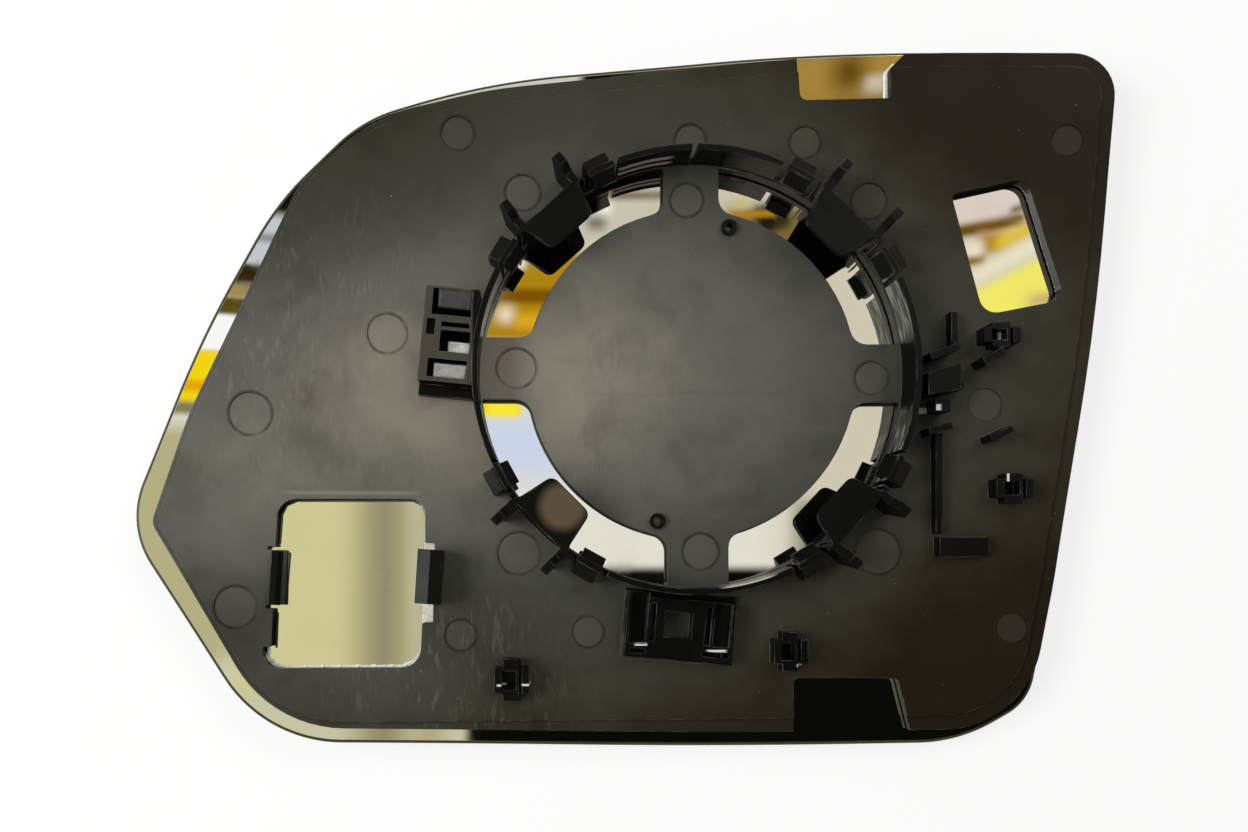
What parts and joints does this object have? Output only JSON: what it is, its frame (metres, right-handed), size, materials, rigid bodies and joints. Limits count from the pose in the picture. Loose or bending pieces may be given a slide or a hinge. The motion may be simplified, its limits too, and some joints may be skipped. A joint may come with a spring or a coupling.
{
  "type": "door mirror glass",
  "caption": "Convex door mirror glass, a rounded trapezoid, bonded to a moulded carrier plate with an actuator ring, corner clips, snap hooks, spindle sockets and windows.",
  "frame": {"origin": "centre of the actuator ring, on the rear face of the carrier plate", "axes": "+X along the long way of the glass towards its straight end, +Y up across the glass, +Z away from the reflecting side, towards the actuator"},
  "size_m": [0.1934, 0.1389, 0.0151],
  "materials": {
    "mirror_glass": "polished",
    "adhesive_film": "matt",
    "carrier_plate": "satin"
  },
  "bodies": {
    "root": {"mirror_glass": "mirror_glass", "adhesive_film": "adhesive_film", "carrier_plate": "carrier_plate"}
  },
  "joints": []
}
